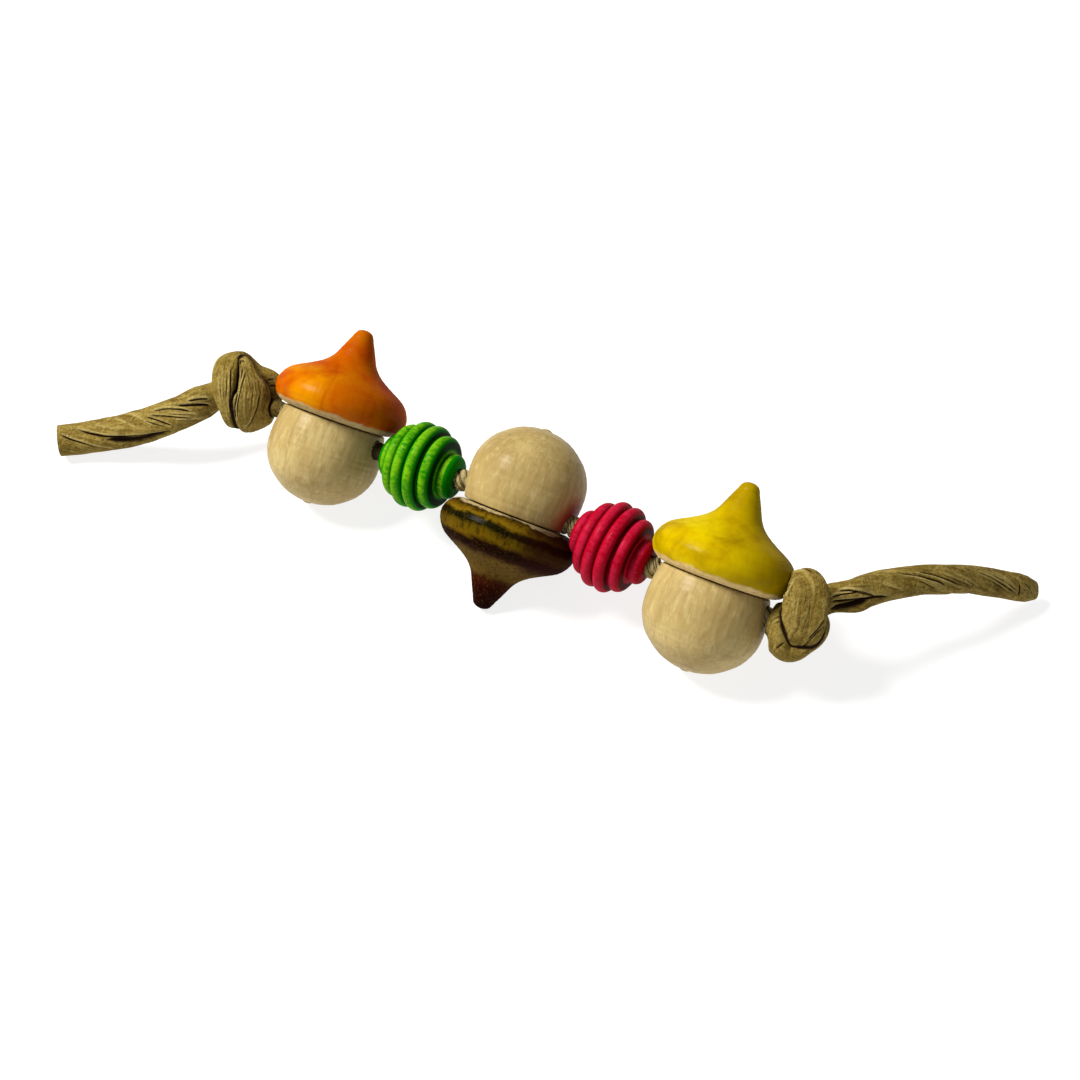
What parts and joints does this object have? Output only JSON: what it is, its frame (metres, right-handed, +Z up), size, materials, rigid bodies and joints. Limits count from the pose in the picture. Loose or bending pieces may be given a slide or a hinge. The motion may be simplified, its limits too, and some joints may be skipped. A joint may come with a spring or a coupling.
{
  "type": "bird foot toy",
  "caption": "Foot toy for parrots: turned wooden acorn beads and ringed beads threaded on a twisted paper rope with an overhand knot and a free tail at each end.",
  "frame": {"origin": "middle of the footprint of beads and knots (free tails left out), on the surface the toy lies on", "axes": "+X along the rope from the orange acorn to the yellow acorn, +Z up, +Y towards the side the tips of the orange and the yellow acorn point to"},
  "size_m": [0.2237, 0.0797, 0.0348],
  "materials": {
    "cap_orange": "orange stain under a thin clear coat, grain showing",
    "cap_brown": "streaky dark brown stain under a thin clear coat, paler along the rim",
    "cap_yellow": "ochre yellow stain under a thin clear coat, ring grain showing",
    "nut_birch": "plain sanded birch with a thin clear coat",
    "bead_green": "green stain, worn paler on the ridges",
    "bead_red": "red stain, worn pinkish on the ridges",
    "paper_rope": "natural brown twisted kraft paper, matt, creased"
  },
  "bodies": {
    "rope": {"rope_core": "paper_rope", "knot_left": "paper_rope", "knot_right": "paper_rope", "rope_tail_left": "paper_rope", "rope_tail_right": "paper_rope"},
    "acorn_1": {"acorn_1_cap": "cap_orange", "acorn_1_nut": "nut_birch"},
    "ringed_green": {"bead_green": "bead_green"},
    "acorn_2": {"acorn_2_cap": "cap_brown", "acorn_2_nut": "nut_birch"},
    "ringed_red": {"bead_red": "bead_red"},
    "acorn_3": {"acorn_3_cap": "cap_yellow", "acorn_3_nut": "nut_birch"}
  },
  "joints": [
    {"name": "acorn_1_spin", "type": "hinge", "parent": "rope", "child": "acorn_1", "pos_m": [-0.04568, -0.00009, 0.01642], "axis": [1, 0, 0], "continuous": true},
    {"name": "green_bead_spin", "type": "hinge", "parent": "rope", "child": "ringed_green", "pos_m": [-0.02048, 0.0003, 0.01707], "axis": [0.9982, 0.0311, 0.0513], "continuous": true},
    {"name": "acorn_2_spin", "type": "hinge", "parent": "rope", "child": "acorn_2", "pos_m": [0.00522, 0.00071, 0.01774], "axis": [1, 0, 0], "continuous": true},
    {"name": "red_bead_spin", "type": "hinge", "parent": "rope", "child": "ringed_red", "pos_m": [0.02935, 0.00031, 0.01708], "axis": [0.9978, -0.0345, -0.0569], "continuous": true},
    {"name": "acorn_3_spin", "type": "hinge", "parent": "rope", "child": "acorn_3", "pos_m": [0.05357, -0.00009, 0.01642], "axis": [1, 0, 0], "continuous": true}
  ]
}
